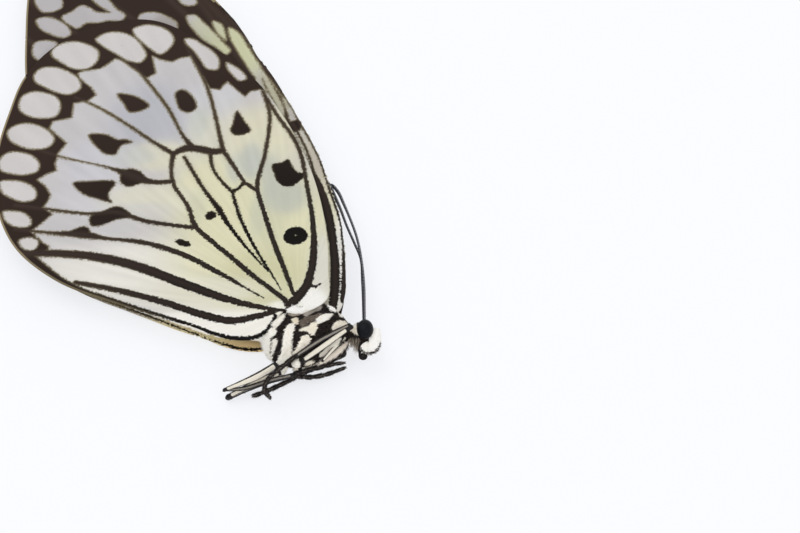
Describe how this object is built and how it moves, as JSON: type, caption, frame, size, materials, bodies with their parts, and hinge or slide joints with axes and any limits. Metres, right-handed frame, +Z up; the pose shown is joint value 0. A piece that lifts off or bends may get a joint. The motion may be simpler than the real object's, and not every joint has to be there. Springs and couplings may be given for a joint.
{
  "type": "paper kite butterfly specimen",
  "caption": "Life-size paper kite butterfly lying on its left side, wings closed over its back, legs folded, antennae swept along the wings.",
  "frame": {"origin": "on the surface that the specimen lies on, under the middle of the thorax", "axes": "+X toward the head, +Y toward the back and the closed wings, +Z up from the surface; the left side is down"},
  "size_m": [0.0477, 0.0778, 0.0059],
  "materials": {
    "wing": "fine wing scales, matt, white to yellow-green with dark brown veins and spots",
    "thorax": "short hair and scales, black with white patches",
    "abdomen": "short scales, white underneath and grey-brown above",
    "head": "short hair, black with white marks",
    "eye": "glossy black",
    "palp": "white hair with a black fringe",
    "proboscis": "dark brown, semi-matt",
    "antenna": "dark grey, finely ringed",
    "leg": "grey-black and cream, scaled"
  },
  "bodies": {
    "root": {"hindwing_left": "wing", "forewing_left": "wing", "forewing_right": "wing", "hindwing_right": "wing", "thorax": "thorax", "abdomen": "abdomen", "head": "head", "eye_right": "eye", "eye_left": "eye", "palp_right": "palp", "palp_left": "palp", "proboscis": "proboscis", "antenna_right": "antenna", "antenna_left": "antenna", "foreleg_right": "leg", "foreleg_left": "leg", "midleg_right": "leg", "midleg_left": "leg", "hindleg_right": "leg", "hindleg_left": "leg"}
  },
  "joints": []
}
